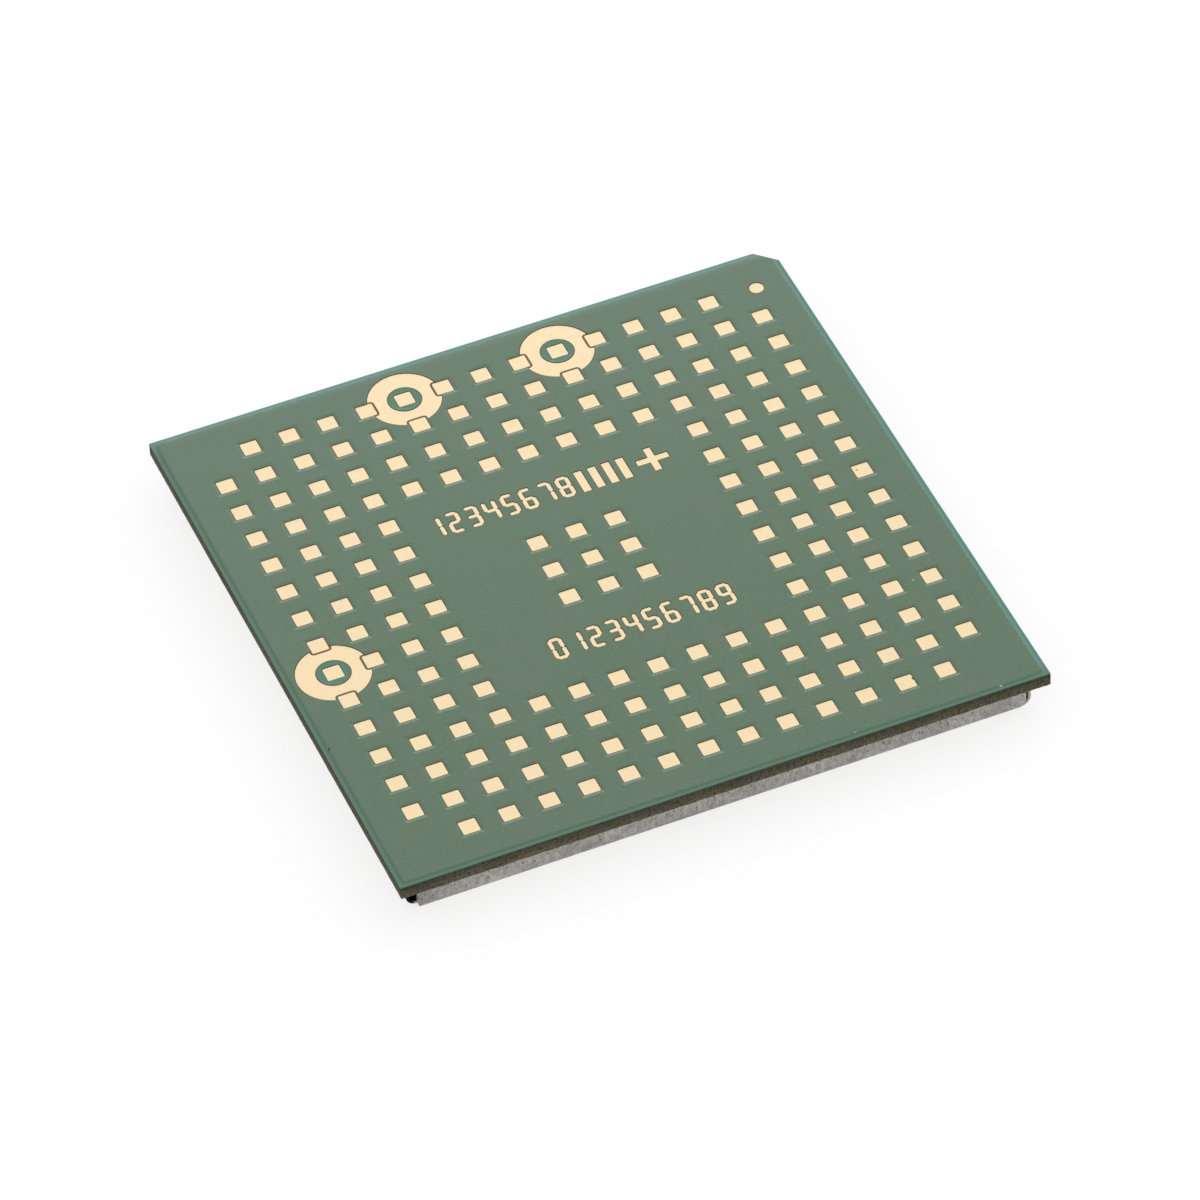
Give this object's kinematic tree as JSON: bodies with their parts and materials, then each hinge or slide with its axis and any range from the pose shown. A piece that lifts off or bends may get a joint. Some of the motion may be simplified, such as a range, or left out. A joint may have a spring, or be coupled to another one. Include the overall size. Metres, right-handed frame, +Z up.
{
  "type": "cellular module",
  "caption": "Square land-grid cellular radio module: green masked board with gold lands, ringed antenna lands and a cut corner, over a folded metal shield can.",
  "frame": {"origin": "centre of the shield lid's outside, on the surface the module rests on", "axes": "+X along the rows of lands, +Y to the edge with two antenna lands, +Z up out of the lands; the cut corner is at +X +Y"},
  "size_m": [0.0282, 0.0282, 0.0022],
  "materials": {
    "laminate": "cut glass-fibre laminate",
    "mask": "satin green solder mask",
    "gold": "pale matt gold plating",
    "can_sheet": "matt tinned sheet",
    "copper": "bare copper",
    "solder": "matt solder",
    "mould": "black moulding compound",
    "white_ceramic": "fired ceramic",
    "tan_ceramic": "fired ceramic",
    "ferrite": "pressed ferrite",
    "heat_pad": "soft filled silicone"
  },
  "bodies": {
    "root": {"board_laminate": "laminate", "land_side_mask": "mask", "component_side_mask": "mask", "signal_lands": "gold", "centre_lands": "gold", "antenna_feed_lands": "gold", "antenna_ground_rings": "gold", "orientation_dot": "gold", "etched_marks": "gold", "oscillator_lid": "gold", "crystal_lid": "gold", "shield_can": "can_sheet", "shield_track": "copper", "component_pads": "copper", "can_solder_seam": "solder", "solder_joints": "solder", "solder_balls": "solder", "chip_terminals": "solder", "baseband_processor": "mould", "memory_package": "mould", "power_manager": "mould", "radio_transceiver": "mould", "high_band_amplifier": "mould", "low_band_amplifier": "mould", "antenna_switch": "mould", "duplexers": "mould", "receive_filters": "mould", "positioning_amplifier": "mould", "chip_resistors": "mould", "oscillator_base": "white_ceramic", "crystal_base": "white_ceramic", "matching_inductors": "white_ceramic", "bulk_capacitors": "tan_ceramic", "decoupling_capacitors": "tan_ceramic", "power_inductors": "ferrite", "heat_pad": "heat_pad"}
  },
  "joints": []
}
